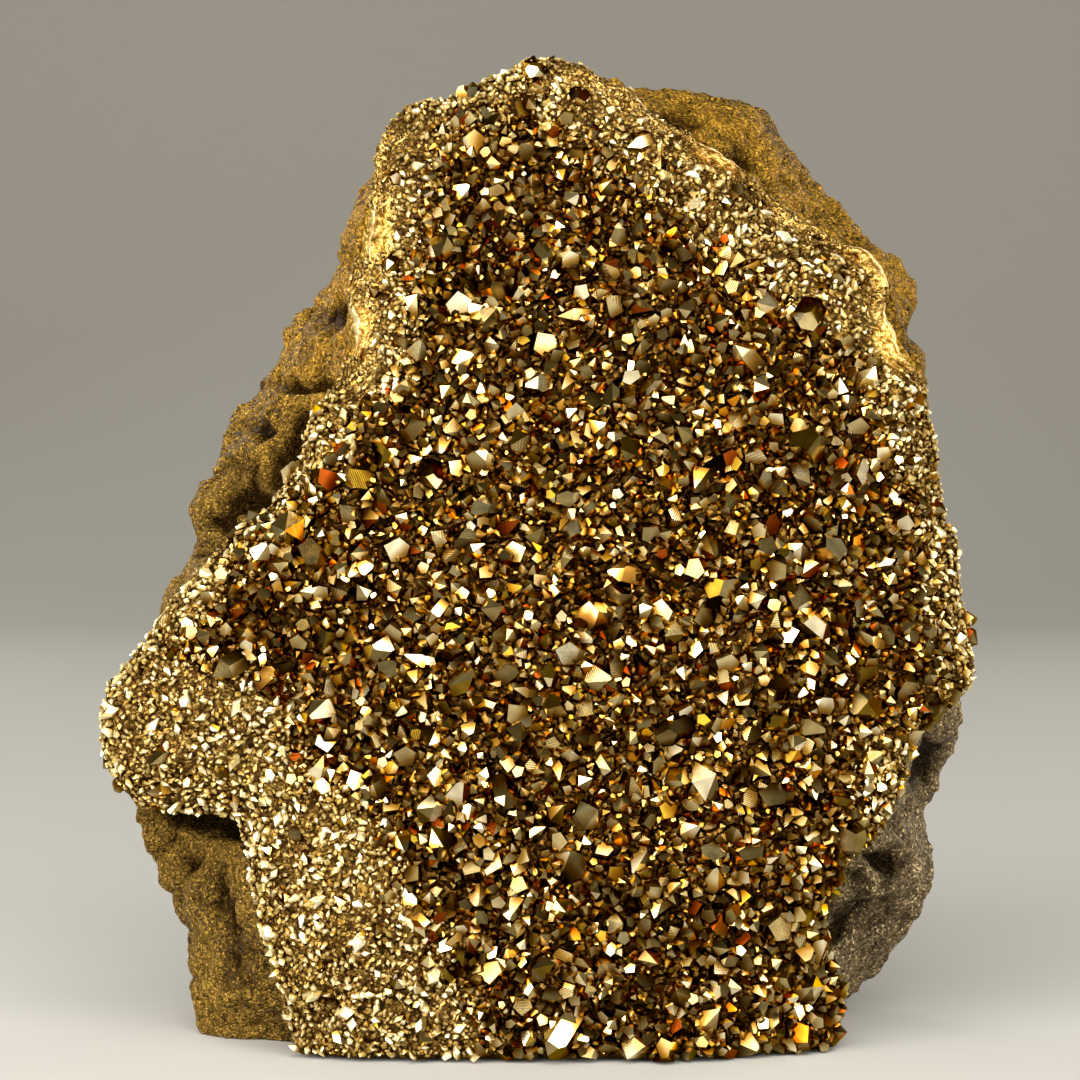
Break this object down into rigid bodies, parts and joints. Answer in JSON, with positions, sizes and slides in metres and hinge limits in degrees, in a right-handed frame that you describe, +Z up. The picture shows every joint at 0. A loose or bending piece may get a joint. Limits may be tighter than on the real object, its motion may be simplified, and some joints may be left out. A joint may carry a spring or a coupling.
{
  "type": "aura amethyst druzy",
  "caption": "Standing slab of geode wall: a druzy front of gold-coated amethyst points on a rough basalt rind, with smooth chalcedony lips at its edge and a sawn flat base.",
  "frame": {"origin": "middle of the whole object's box, at the height of the sawn base", "axes": "+Z up; the crystal face looks towards -Y and leans back; +X to the right as seen from the front"},
  "size_m": [0.1328, 0.079, 0.1507],
  "materials": {
    "basalt": "rough grainy rock dusted with gold film",
    "aura_amethyst": "mirror-bright metal film on crystal faces",
    "chalcedony": "smooth waxy band with gold film"
  },
  "bodies": {
    "root": {"basalt_rind": "basalt", "amethyst_crust": "aura_amethyst", "chalcedony_lip_right": "chalcedony", "chalcedony_lip_left": "chalcedony"}
  },
  "joints": []
}
